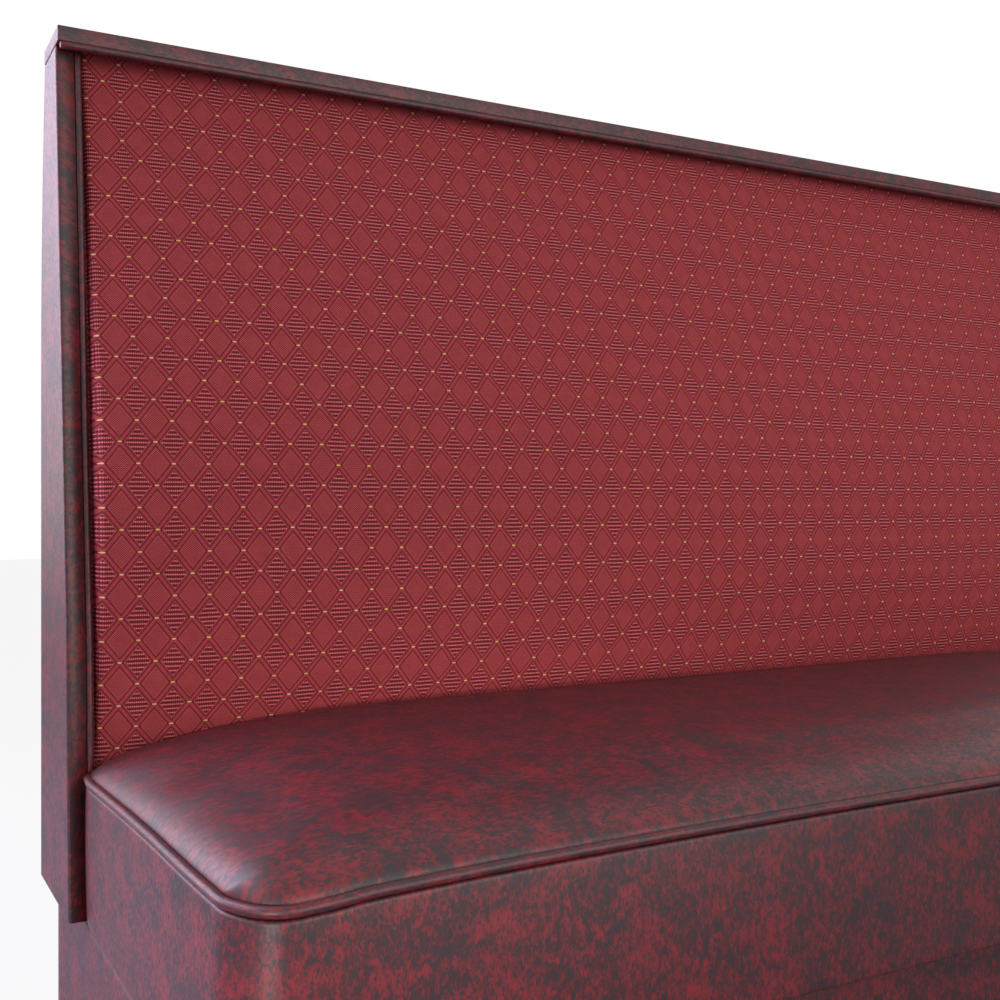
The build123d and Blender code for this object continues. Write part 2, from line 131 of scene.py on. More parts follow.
# Back pad
BOARD_SET_BACK_LOW = 27 * MM
BOARD_SET_BACK_TOP = 41 * MM
PAD_THICKNESS = 106 * MM
PAD_GROOVE = 3.5 * MM
PAD_ROLL = 6.5 * MM
PAD_REACH = 248 * MM
PAD_LEVELS = (0, 0.2, 0.351, 0.475, 0.65, 1)
PAD_MIDDLE = (0.396, 0.887, 1, 0.962, 0.766, 0.27)
PAD_END = (0.12, 0.49, 0.637, 0.62, 0.49, 0.21)
PAD_EDGE = (0.12, 0.24, 0.28, 0.29, 0.29, 0.16)

# Joining plates between the seat frame and the base
PLATE_FACES = in_mm(-397.5, 11.5, 420.5)
PLATE_MIDDLES = in_mm(-180, 53)
PLATE_SCREW_HEIGHTS = in_mm(208, 230, 262, 284)

# Lattice of the back fabric: half its diamonds' width and height
LATTICE_ACROSS = 18.6 * MM
LATTICE_DOWN = 24.05 * MM
LATTICE_LEFT = -803 * MM
LATTICE_TOP = 1195.6 * MM
RIB_PITCH = 4.82 * MM
PICK_PITCH = 2.0 * MM
ZIGZAG_WIDTH = 5.6 * MM
ZIGZAG_PITCH = 2.4 * MM

# How bright the white surroundings are as a light
AMBIENT = 0.33


def panel_front(z):
    """Y of an end panel's front edge at a height."""
    low_y, knee_y = REAR_Y - PANEL_LOW_DEPTH, REAR_Y - KNEE_DEPTH
    if z <= KNEE_HEIGHT:
        return low_y + (knee_y - low_y) * (z - PANEL_LOW.z) / (KNEE_HEIGHT - PANEL_LOW.z)
    return knee_y + (TOP_FRONT_Y - knee_y) * (z - KNEE_HEIGHT) / (CAP_BOTTOM - KNEE_HEIGHT)


def rear_face(z):
    """Y of the rear face at a height."""
    if z <= PLUMB_HEIGHT:
        return REAR_Y
    rise = CAP_BOTTOM - PLUMB_HEIGHT
    radius = (rise**2 + REAR_DRAW_IN**2) / (2 * REAR_DRAW_IN)
    return REAR_Y - radius + math.sqrt(radius**2 - (z - PLUMB_HEIGHT) ** 2)


def board_front(z):
    """Y of the back board's front face at a height."""
    low = panel_front(SEAT_TOP) + BOARD_SET_BACK_LOW
    high = TOP_FRONT_Y + BOARD_SET_BACK_TOP
    return low + (high - low) * (z - SEAT_TOP) / (CAP_BOTTOM - SEAT_TOP)


def smooth_through(xs, ys, x):
    """Value at x of a smooth curve through a few points."""
    here = max(i for i in range(len(xs) - 1) if x >= xs[i] or i == 0)

    def slope(i):
        if i in (0, len(xs) - 1):
            j = min(i, len(xs) - 2)
            return (ys[j + 1] - ys[j]) / (xs[j + 1] - xs[j])
        return (ys[i + 1] - ys[i - 1]) / (xs[i + 1] - xs[i - 1])

    width = xs[here + 1] - xs[here]
    t = (x - xs[here]) / width
    return (
        (2 * t**3 - 3 * t**2 + 1) * ys[here]
        + (t**3 - 2 * t**2 + t) * width * slope(here)
        + (3 * t**2 - 2 * t**3) * ys[here + 1]
        + (t**3 - t**2) * width * slope(here + 1)
    )


def spread(low, high, step, edges=()):
    """Places from low to high, close together at the ends where edges gives their distances."""
    inner_low, inner_high = low + (edges[-1] if edges else 0), high - (edges[-1] if edges else 0)
    count = max(2, round((inner_high - inner_low) / step) + 1)
    middle = [inner_low + (inner_high - inner_low) * i / (count - 1) for i in range(count)]
    return [low + e for e in edges[:-1]] + middle + [high - e for e in reversed(edges[:-1])]


def quarter(t):
    """Rise of a quarter circle: 0 at 0, upright there, and level at 1."""
    return math.sqrt(max(0, 1 - (1 - min(1, max(0, t))) ** 2))


def smooth(t):
    """Rise from 0 at 0 to 1 at 1, level at both."""
    t = min(1, max(0, t))
    return t * t * (3 - 2 * t)


def smooth_min(first, second, blend):
    """The smaller of two numbers, rounded where they meet."""
    close = max(0, blend - abs(first - second)) / blend
    return min(first, second) - close**2 * blend / 4


def turns(count):
    """Angles of a quarter turn."""
    return [math.pi / 2 * i / (count - 1) for i in range(count)]


# Node trees
class Value:
    """A number or colour that varies over a surface. Sums and products of numbers add Math nodes."""

    def __init__(self, tree, socket):
        self.tree = tree
        self.socket = socket

    def math(self, operation, *others):
        return self.tree.node("ShaderNodeMath", {"operation": operation}, (self, *others))

    def __add__(self, other):
        return self.math("ADD", other)

    __radd__ = __add__

    def __sub__(self, other):
        return self.math("SUBTRACT", other)

    def __rsub__(self, other):
        return self.tree.node("ShaderNodeMath", {"operation": "SUBTRACT"}, (other, self))

    def __mul__(self, other):
        return self.math("MULTIPLY", other)

    __rmul__ = __mul__

    def __truediv__(self, other):
        return self.math("DIVIDE", other)

    def __abs__(self):
        return self.math("ABSOLUTE")

    def floor(self):
        return self.math("FLOOR")

    def parity(self):
        """0 on even whole numbers and 1 on odd ones."""
        return self.math("FLOORED_MODULO", 2)

    def off_whole(self):
        """Signed distance from the nearest whole number."""
        return self - self.math("ROUND")

    def step(self, low, high):
        """0 below low, 1 above high, and smooth between."""
        inputs = {"Value": self, "From Min": min(low, high), "From Max": max(low, high)}
        if low > high:
            inputs.update({"To Min": 1.0, "To Max": 0.0})
        return self.tree.node("ShaderNodeMapRange", {"interpolation_type": "SMOOTHSTEP"}, inputs)


class Tree:
    """Adds nodes to a node tree."""

    def __init__(self, tree):
        self.nodes = tree.nodes
        self.links = tree.links

    def node(self, kind, settings=None, inputs=(), output=0):
        """Adds a node: its settings first, then the values or links of its sockets."""
        made = self.nodes.new(kind)
        for key, value in (settings or {}).items():
            setattr(made, key, value)
        for key, value in inputs.items() if isinstance(inputs, dict) else enumerate(inputs):
            self.feed(made.inputs[key], value)
        return Value(self, made.outputs[output])

    def feed(self, socket, value):
        if isinstance(value, Value):
            self.links.new(value.socket, socket)
        elif isinstance(value, tuple) and len(value) == 3 and socket.type == "RGBA":
            socket.default_value = (*value, 1)
        else:
            socket.default_value = value


class Finish(Tree):
    """A procedural material round one Principled shader."""

    def __init__(self, name, **constants):
        self.material = bpy.data.materials.new(name)
        self.material.use_nodes = True
        super().__init__(self.material.node_tree)
        self.shader = self.nodes["Principled BSDF"]
        for socket, value in constants.items():
            self.shader.inputs[socket.replace("_", " ")].default_value = value

    def place(self):
        """Object coordinates."""
        return self.node("ShaderNodeTexCoord", output="Object")

    def cloth_place(self):
        """The piece's own UV map, in metres over its surface."""
        return self.node("ShaderNodeTexCoord", output="UV")

    def parts(self, vector):
        """The three numbers of a vector."""
        split = self.node("ShaderNodeSeparateXYZ", inputs=(vector,))
        return [Value(self, output) for output in split.socket.node.outputs]

    def scaled(self, vector, scale):
        return self.node("ShaderNodeVectorMath", {"operation": "MULTIPLY"}, (vector, scale))

    def noise(self, vector, scale, detail=2.0, roughness=0.5, distortion=0.0):
        inputs = {
            "Vector": vector,
            "Scale": scale,
            "Detail": detail,
            "Roughness": roughness,
            "Distortion": distortion,
        }
        return self.node("ShaderNodeTexNoise", None, inputs)

    def mix(self, factor, first, second):
        """Colour between two colours, which are the node's sockets 6 and 7."""
        inputs = {"Factor": factor, 6: first, 7: second}
        return self.node("ShaderNodeMix", {"data_type": "RGBA"}, inputs, output=2)

    def bump(self, height, distance, strength=1.0):
        inputs = {"Height": height, "Distance": distance, "Strength": strength}
        return self.node("ShaderNodeBump", None, inputs)

    def paint(self, **links):
        """Feeds the shader's varying sockets."""
        for socket, value in links.items():
            self.feed(self.shader.inputs[socket.replace("_", " ")], value)
        return self.material


class Maker(Tree):
    """A Geometry Nodes tree with named inputs. It runs on a piece once, and leaves it a plain mesh."""

    def __init__(self, name, **inputs):
        self.group = bpy.data.node_groups.new(name, "GeometryNodeTree")
        super().__init__(self.group)
        interface = self.group.interface
        for way in ("INPUT", "OUTPUT"):
            interface.new_socket("Geometry", in_out=way, socket_type="NodeSocketGeometry")
        self.identifiers = {}
        for label, value in inputs.items():
            kind = "NodeSocketInt" if isinstance(value, int) else "NodeSocketFloat"
            socket = interface.new_socket(label, in_out="INPUT", socket_type=kind)
            socket.default_value = value
            self.identifiers[label] = socket.identifier
        self.entry = self.nodes.new("NodeGroupInput")
        self.exit = self.nodes.new("NodeGroupOutput")

    def given(self, label):
        return Value(self, self.entry.outputs[label])

    def vector(self, x=0.0, y=0.0, z=0.0):
        return self.node("ShaderNodeCombineXYZ", None, (x, y, z))

    def kept(self, geometry, name, value, kind="FLOAT", domain="POINT"):
        """Geometry with a value stored on it by name."""
        settings = {"data_type": kind, "domain": domain}
        inputs = {"Geometry": geometry, "Name": name, "Value": value}
        return self.node("GeometryNodeStoreNamedAttribute", settings, inputs)

    def named(self, name):
        return self.node("GeometryNodeInputNamedAttribute", {"data_type": "FLOAT"}, {"Name": name})

    def moved(self, geometry, **places):
        inputs = {"Geometry": geometry, **places}
        return self.node("GeometryNodeTransform", None, inputs)

    def chance(self, low, high):
        """A number between two others for each point, by the tree's seed."""
        # The node has a Min and a Max for each kind of data: those of numbers are its sockets 2 and 3
        inputs = {2: low, 3: high, "Seed": self.given("seed")}
        return self.node("FunctionNodeRandomValue", {"data_type": "FLOAT"}, inputs, 1)

    def result(self, geometry, material, smooth_faces=True):
        """Ends the tree: real mesh, shaded, with its material."""
        whole = self.node("GeometryNodeRealizeInstances", None, {"Geometry": geometry})
        inputs = {"Geometry": whole, "Shade Smooth": smooth_faces}
        shaded = self.node("GeometryNodeSetShadeSmooth", None, inputs)
        inputs = {"Geometry": shaded, "Material": material}
        self.feed(self.exit.inputs[0], self.node("GeometryNodeSetMaterial", None, inputs))
        return self

    def on_points(self, instance, rotation):
        """Ends the tree with a flat-faced steel copy on each of its points."""
        inputs = {"Points": self.given("Geometry"), "Instance": instance, "Rotation": rotation}
        copies = self.node("GeometryNodeInstanceOnPoints", None, inputs)
        return self.result(copies, FINISHES["zinc_steel"], smooth_faces=False)

    def run(self, piece, **values):
        """Runs the tree on a piece with these inputs and keeps the plain mesh that comes out."""
        modifier = piece.modifiers.new(self.group.name, "NODES")
        modifier.node_group = self.group
        for label, value in values.items():
            modifier[self.identifiers[label]] = value
        evaluated = piece.evaluated_get(bpy.context.evaluated_depsgraph_get())
        made = bpy.data.meshes.new_from_object(evaluated)
        piece.modifiers.remove(modifier)
        points = piece.data
        piece.data = made
        bpy.data.meshes.remove(points)
        made.name = piece.name
        return piece


# Materials. Noise scales are per metre
def colour(red, green, blue):
    """Linear colour from the usual 0 to 255 numbers."""
    shares = (c / 255 for c in (red, green, blue))
    return tuple(c / 12.92 if c <= 0.04 else ((c + 0.055) / 1.055) ** 2.4 for c in shares)


def mottled_vinyl():
    """Burgundy upholstery vinyl: dark flecks along V, worked over two reds, under a satin topcoat."""
    topcoat = {"Coat_Weight": 0.2, "Coat_Roughness": 0.46}
    finish = Finish("mottled_vinyl", IOR=1.5, Specular_IOR_Level=0.38, **topcoat)
    place = finish.cloth_place()
    grain = finish.scaled(place, (1.0, 0.5, 1.0))
    speck = finish.noise(grain, 460, detail=2, roughness=0.6, distortion=0.2)
    streak = finish.noise(grain, 210, detail=3, roughness=0.6, distortion=0.3)
    cloud = finish.noise(place, 22, detail=3, roughness=0.6)
    glaze = finish.noise(grain, 150, detail=3, roughness=0.65)
    fleck = (speck * 0.5 + streak * 0.42 + cloud * 0.22).step(0.515, 0.65)
    glazed = (glaze * 0.7 + cloud * 0.3).step(0.38, 0.62)
    reds = finish.mix(glazed, colour(112, 20, 30), colour(54, 13, 18))
    body = finish.mix(fleck * 0.92, reds, colour(27, 23, 29))
    inputs = {"Vector": place, "Scale": 850.0}
    cells = finish.node("ShaderNodeTexVoronoi", {"feature": "SMOOTH_F1"}, inputs)
    crease = finish.noise(grain, 240, detail=2)
    relief = finish.bump(cells * 0.5 + crease * 0.5, 0.1 * MM, 0.3)
    rough = 0.43 + 0.08 * fleck + 0.06 * speck
    return finish.paint(Base_Color=body, Roughness=rough, Normal=relief)


def lattice_cloth():
    """Woven back fabric: crossing bands with dark edges and gold picks, and ribbed and plain diamonds."""
    finish = Finish("lattice_cloth", IOR=1.45, Specular_IOR_Level=0.25)
    place = finish.cloth_place()
    across, down, _ = finish.parts(place)
    u, v = across / LATTICE_ACROSS, down / LATTICE_DOWN
    rising, falling = (u + v) * 0.5, (u - v) * 0.5
    rise_off, fall_off = rising.off_whole(), falling.off_whole()
    # Widths are shares of the distance between neighbouring bands, 29.4 mm
    threads = finish.noise(finish.scaled(place, (1.0, 2.4, 1.0)), 900, detail=2, roughness=0.7)
    slub = finish.noise(place, 60, detail=3)
    near = abs(rise_off).math("MINIMUM", abs(fall_off)) + (threads - 0.5) * 0.012
    band = near.step(0.062, 0.042)
    edge = near.step(0.035, 0.08) * near.step(0.14, 0.085)
    glint = near.step(0.105, 0.125) * near.step(0.165, 0.14)
    inside = near.step(0.14, 0.165)
    ribbed = (rising.floor() - falling.floor()).parity()
    # Ribbed diamonds: rows of short pale and dark picks
    row = abs((down / RIB_PITCH).off_whole())
    pick = abs((across / PICK_PITCH).off_whole())
    pale = row.step(0.17, 0.1) * pick.step(0.16, 0.24)
    shade = row.step(0.28, 0.36) * pick.step(0.46, 0.34)
    # Plain diamonds: a fine zigzag of raised picks
    slant = abs((across / ZIGZAG_WIDTH).off_whole()) * 2.6
    stroke = abs((slant + down / ZIGZAG_PITCH).off_whole()).step(0.12, 0.38)
    plain = finish.mix(stroke * 0.8 + threads * 0.2, colour(96, 26, 31), colour(204, 84, 88))
    ribs = finish.mix(shade * 0.95, colour(150, 46, 54), colour(60, 17, 23))
    ribs = finish.mix(pale, ribs, colour(240, 136, 136))
    fill = finish.mix(ribbed * inside, plain, ribs)
    fill = finish.mix(glint * 0.4, fill, colour(196, 88, 96))
    lined = finish.mix(edge * 0.75, fill, colour(60, 20, 25))
    banded = finish.mix(band, lined, finish.mix(threads, colour(158, 44, 54), colour(196, 72, 82)))
    # Gold picks: short soft bars at the crossings, each with a painted shade ring round it for the shade
    # round the raised pick
    bar_across, bar_down = abs(rise_off + fall_off), abs(rise_off - fall_off)
    round_bar = (bar_across / 0.14).math("POWER", 2) + (bar_down / 0.044).math("POWER", 2)
    gold = round_bar.step(1.25, 0.55)
    # Painted shade: a darker ring round each raised gold bar
    painted_shade_ring = round_bar.step(4.2, 1.6)
    knotted = finish.mix(gold, finish.mix(painted_shade_ring * 0.5, banded, colour(70, 24, 24)), colour(240, 194, 118))
    body = finish.mix((slub - 0.5) * 0.4 + (threads - 0.5) * 0.7 + 0.15, knotted, colour(90, 26, 31))
    height = band * 0.8 + gold * 1.2 + pale * ribbed * inside * 0.8
    height = height + threads * 0.5 + stroke * 0.3 - edge * 0.9
    relief = finish.bump(height, 0.35 * MM, 0.6)
    return finish.paint(Base_Color=body, Roughness=0.86 - 0.3 * gold, Normal=relief)


def plywood():
    """Birch plywood: a long grain with fine streaks in it, along X."""
    finish = Finish("plywood")
    place = finish.place()
    broad = finish.scaled(place, (6.0, 60.0, 60.0))
    grain = finish.noise(broad, 1.0, detail=5, roughness=0.6, distortion=0.6)
    fine = finish.noise(finish.scaled(place, (20.0, 500.0, 500.0)), 1.0, detail=2)
    body = finish.mix(grain * 0.6 + fine * 0.4, colour(214, 178, 130), colour(170, 125, 80))
    relief = finish.bump(fine, 0.1 * MM, 0.4)
    return finish.paint(Base_Color=body, Roughness=0.55 + 0.2 * fine, Normal=relief)


def flecked(name, scale, dark, light, rough, rougher=0, relief=0, strength=0.3, metallic=0, **noise):
    """Fine fleck between two colours. Its light places may be rougher, and may stand out."""
    finish = Finish(name, Roughness=rough, Metallic=metallic)
    fleck = finish.noise(finish.place(), scale, **noise)
    links = {"Base_Color": finish.mix(fleck, colour(*dark), colour(*light))}
    if rougher:
        links["Roughness"] = rough + rougher * fleck
    if relief:
        links["Normal"] = finish.bump(fleck, relief, strength)
    return finish.paint(**links)


# Finish of each material slot. Foam is hidden, and gets the plain black cloth
FINISHES = {
    "vinyl": mottled_vinyl(),
    "woven_fabric": lattice_cloth(),
    "plywood": plywood(),
    "hardboard": flecked("hardboard", 500, (96, 64, 40), (140, 100, 66), 0.5, relief=0.1 * MM, detail=3),
    "zinc_steel": flecked("zinc_steel", 260, (168, 170, 172), (206, 208, 210), 0.28, rougher=0.2, metallic=1),
    "glide_plastic": flecked(
        "glide_plastic", 700, (30, 30, 32), (44, 44, 46), 0.42, rougher=0.12, relief=0.05 * MM
    ),
    "dust_cloth": flecked(
        "dust_cloth", 900, (22, 22, 24), (52, 52, 54), 0.9, relief=0.15 * MM, strength=0.5,
        detail=3, roughness=0.7,
    ),
}
FINISHES["foam"] = FINISHES["dust_cloth"]


# Pieces
def finished(piece, slot, *nodes):
    """Gives a piece its slot's finish, ties it to the root body, and hides the CAD nodes that it stands for.
    """
    piece.data.materials.clear()
    piece.data.materials.append(FINISHES[slot])
    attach(piece, "root")
    if nodes:
        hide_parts(*nodes)
    return piece


def new_mesh(name, points, edges=(), faces=()):
    mesh = bpy.data.meshes.new(name)
    mesh.from_pydata(points, edges, faces)
    return mesh


def linked(name, data):
    """Object of the scene round a mesh, a lamp or a camera."""
    made = bpy.data.objects.new(name, data)
    scene.collection.objects.link(made)
    return made


def mesh_piece(name, points, faces, places):
    """Smooth mesh, with a UV place in metres for each corner of each face."""
    mesh = new_mesh(name, points, faces=faces)
    layer = mesh.uv_layers.new(name="UVMap")
    layer.data.foreach_set("uv", [value for corner in places for value in corner])
    mesh.shade_smooth()
    return linked(name, mesh)


def face_outwards(piece, inside=(0, 0, 0)):
    """Turns a piece's faces away from a place inside it."""
    mesh = piece.data
    mesh.calc_loop_triangles()
    volume = 0.0
    for triangle in mesh.loop_triangles:
        a, b, c = (mesh.vertices[i].co - Vector(inside) for i in triangle.vertices)
        volume += a.dot(b.cross(c))
    if volume < 0:
        mesh.flip_normals()
    return piece


def grid_faces(rows, columns):
    return [
        (r * columns + c, r * columns + c + 1, (r + 1) * columns + c + 1, (r + 1) * columns + c)
        for r in range(rows - 1)
        for c in range(columns - 1)
    ]


def shell(name, grid, places, rings, back=True):
    """Face made of a grid of points, walls that go on from its border in rings, and a flat back.

    places holds a UV place for each grid point. A ring is a function from a border point and its UV place to
    the next point and its UV place.
    """
    rows, columns = len(grid), len(grid[0])
    points = [p for row in grid for p in row]
    uv = [p for row in places for p in row]
    faces = grid_faces(rows, columns)
    border = (
        list(range(columns))
        + [r * columns + columns - 1 for r in range(1, rows)]
        + [(rows - 1) * columns + c for c in range(columns - 2, -1, -1)]
        + [r * columns for r in range(rows - 2, 0, -1)]
    )
    last = border
    for ring in rings:
        new = list(range(len(points), len(points) + len(border)))
        for origin in border:
            point, place = ring(points[origin], uv[origin])
            points.append(point)
            uv.append(place)
        for i in range(len(border)):
            j = (i + 1) % len(border)
            faces.append((last[j], last[i], new[i], new[j]))
        last = new
    if back:
        faces.append(tuple(reversed(last)))
    return mesh_piece(name, points, faces, [uv[i] for face in faces for i in face])


def grown(place, middle, half, distance):
    """UV place moved outwards from the middle of its rectangle."""
    return tuple(m + (p - m) * (h + distance) / h for p, m, h in zip(place, middle, half))


def sleeve(name, rings):
    """Closed piece through closed rings of points, with a flat cap at each end."""
    count = len(rings[0])
    points = [p for ring in rings for p in ring]
    faces, corners = [], []
    along = [0.0]
    for before, after in zip(rings, rings[1:]):
        along.append(along[-1] + math.dist(before[0], after[0]))
    girth = [0.0]
    middle = rings[len(rings) // 2]
    for i in range(count):
        girth.append(girth[-1] + math.dist(middle[i], middle[(i + 1) % count]))
    for k in range(len(rings) - 1):
        for i in range(count):
            j = (i + 1) % count
            faces.append((k * count + i, k * count + j, (k + 1) * count + j, (k + 1) * count + i))
            low, high = along[k], along[k + 1]
            corners += [(low, girth[i]), (low, girth[i + 1]), (high, girth[i + 1]), (high, girth[i])]
    last = (len(rings) - 1) * count
    faces.append(tuple(range(count - 1, -1, -1)))
    corners += [(0.0, girth[i]) for i in range(count - 1, -1, -1)]
    faces.append(tuple(last + i for i in range(count)))
    corners += [(along[-1], girth[i]) for i in range(count)]
    return face_outwards(mesh_piece(name, points, faces, corners))


def relaxed(face, columns, rows, pressure, limit):
    """Small cloth simulation of a sewn cover. Gives the shift of its face at shares (s, t) over it.

    Its border is sewn down, its filling presses from inside, and no point moves further than the limit.
    """
    flat = [face(c / (columns - 1), r / (rows - 1)) for r in range(rows) for c in range(columns)]
    shifts = [Vector()] * len(flat)
    last_frame = 20
    mesh = new_mesh("trial_cover", flat, faces=grid_faces(rows, columns))
    trial = linked("trial_cover", mesh)
    sewn = trial.vertex_groups.new(name="sewn")
    sides, ends = (0, columns - 1), (0, rows - 1)
    border = [i for i in range(len(flat)) if i % columns in sides or i // columns in ends]
    sewn.add(border, 1.0, "REPLACE")
    cloth = trial.modifiers.new("cloth", "CLOTH")
    cloth.point_cache.frame_start = 1
    cloth.point_cache.frame_end = last_frame
    cloth.settings.quality = 6
    cloth.settings.mass = 0.4
    cloth.settings.bending_stiffness = 30
    cloth.settings.vertex_group_mass = "sewn"
    cloth.settings.shrink_min = -0.002
    cloth.settings.use_pressure = True
    cloth.settings.uniform_pressure_force = pressure
    cloth.settings.effector_weights.gravity = 0
    for step in range(1, last_frame + 1):
        scene.frame_set(step)
    settled = trial.evaluated_get(bpy.context.evaluated_depsgraph_get()).data
    for i, vertex in enumerate(settled.vertices):
        shift = vertex.co - Vector(flat[i])
        if shift.length > limit:
            shift *= limit / shift.length
        shifts[i] = shift
    scene.frame_set(1)
    bpy.data.objects.remove(trial)
    bpy.data.meshes.remove(mesh)

    def shift_at(s, t):
        c, r = min(1, max(0, s)) * (columns - 1), min(1, max(0, t)) * (rows - 1)
        left, low = min(int(c), columns - 2), min(int(r), rows - 2)
        across, along = c - left, r - low
        first = low * columns + left
        near = shifts[first].lerp(shifts[first + 1], across)
        far = shifts[first + columns].lerp(shifts[first + columns + 1], across)
        return near.lerp(far, along)

    return shift_at


# Welt cords
def cord_maker():
    """Turns a path into a welt cord: a tube of a given radius, narrowed at its ends by the path's taper."""
    maker = Maker("welt_cord", radius=WELT_RADIUS, sides=16)
    path = maker.node("GeometryNodeMeshToCurve", None, {"Mesh": maker.given("Geometry")})
    path = maker.kept(path, "along", maker.node("GeometryNodeSplineParameter", output="Length"))
    inputs = {"Resolution": maker.given("sides"), "Radius": maker.given("radius")}
    ring = maker.node("GeometryNodeCurvePrimitiveCircle", None, inputs)
    ring = maker.kept(ring, "around", maker.node("GeometryNodeSplineParameter", output="Factor"))
    inputs = {"Curve": path, "Profile Curve": ring, "Scale": maker.named("taper"), "Fill Caps": True}
    tube = maker.node("GeometryNodeCurveToMesh", None, inputs)
    girth = maker.given("radius") * (2 * math.pi)
    place = maker.vector(maker.named("around") * girth, maker.named("along"))
    return maker.result(maker.kept(tube, "UVMap", place, "FLOAT2", "CORNER"), FINISHES["vinyl"])


def cord(name, path, radius, *nodes):
    """Welt cord along a path of points, with rounded ends."""
    first, last = Vector(path[0]), Vector(path[-1])
    start, end = (Vector(path[1]) - first).normalized(), (Vector(path[-2]) - last).normalized()
    # Over the blunt length at each end the cord widens from 60% of its radius, in a quarter circle
    shares = (0, 0.05, 0.2, 0.45, 0.75)
    blunt = 0.4 * radius
    points = [first + start * blunt * s for s in shares]
    points += [Vector(p) for p in path[1:-1]]
    points += [last + end * blunt * s for s in reversed(shares)]
    tapers = [0.6 + 0.4 * quarter(s) for s in shares]
    tapers = tapers + [1.0] * (len(path) - 2) + list(reversed(tapers))
    mesh = new_mesh(name, points, edges=[(i, i + 1) for i in range(len(points) - 1)])
    mesh.attributes.new("taper", "FLOAT", "POINT").data.foreach_set("value", tapers)
    piece = linked(name, mesh)
    face_outwards(CORDS.run(piece, radius=radius))
    return finished(piece, "vinyl", *nodes)


# Outline of the seat, and how its sewn seam is drawn in
def seat_path(half, front, rear, radius, step, rear_edges=()):
    """Stations along the seat's outline: place on the floor plan and outward direction."""
    side_length = rear - front - radius
    bend = math.pi / 2 * radius
    stations = []
    first = rear_edges[-1] if rear_edges else 0
    for distance in list(rear_edges[:-1]) + spread(first, side_length, step):
        stations.append(((-half, rear - distance), (-1, 0)))
    fewest = 6
    count = max(fewest, round(bend / (step / 2)))
    for i in range(1, count):
        angle = math.pi / 2 * i / count
        out = (-math.cos(angle), -math.sin(angle))
        stations.append(((-half + radius + radius * out[0], front + radius + radius * out[1]), out))
    for distance in spread(0, half - radius, step):
        stations.append(((-half + radius + distance, front), (0, -1)))
    mirrored = [((-p[0], p[1]), (-o[0], o[1])) for p, o in reversed(stations[:-1])]
    return stations + mirrored


def measured(stations):
    """Stations of an outline with the distance along it up to each."""
    along, last = 0.0, stations[0][0]
    for place, out in stations:
        along += math.dist(place, last)
        last = place
        yield along, place, out


def seam_rise(x, y):
    """How far the seam lies above or below its straight line: the side's rise near it, else the front's."""
    along_front = BOXING_HIGH.x - CORNER_RADIUS - abs(x)
    front = smooth_through(FRONT_SEAM_PLACES, FRONT_SEAM_RISES, max(0, along_front))
    side = smooth_through(SIDE_SEAM_PLACES, SIDE_SEAM_RISES, max(SIDE_SEAM_PLACES[0], y))
    corner_reach = 30 * MM
    reach = corner_reach + 0.5 * (y - BOXING_LOW.y)
    share = smooth((BOXING_HIGH.x - abs(x)) / reach)
    return side + (front - side) * share


def drawn_in(x, y, amount, tucked=True):
    """Place on the floor plan once the seam has drawn it in at the corner and tucked it in at the rear."""
    over_x = abs(x) - (BOXING_HIGH.x - CORNER_RADIUS)
    over_y = BOXING_LOW.y + CORNER_RADIUS - y
    tuck = 0.0
    if over_x > 0 and over_y > 0:
        reach = math.hypot(over_x, over_y)
        out, depth = (over_x / reach, over_y / reach), CORNER_RADIUS - reach
        turned = math.atan2(over_y, over_x) / (math.pi / 2)
        share = 1 - smooth((turned - PULL_HELD) / (1 - PULL_HELD))
    elif over_x > over_y:
        out, depth, share = (1, 0), CORNER_RADIUS - over_x, math.exp(over_y / PULL_REACH)
        from_rear = panel_front(SEAT_TOP) - y
        tuck = END_TUCK * (1 - smooth(from_rear / TUCK_REACH)) if tucked else 0.0
    else:
        out, depth, share = (0, 1), CORNER_RADIUS - over_y, 0.0
    draw = (amount * share + tuck) * (1 - smooth(depth / PULL_DEPTH))
    return x - math.copysign(out[0] * draw, x), y + out[1] * draw


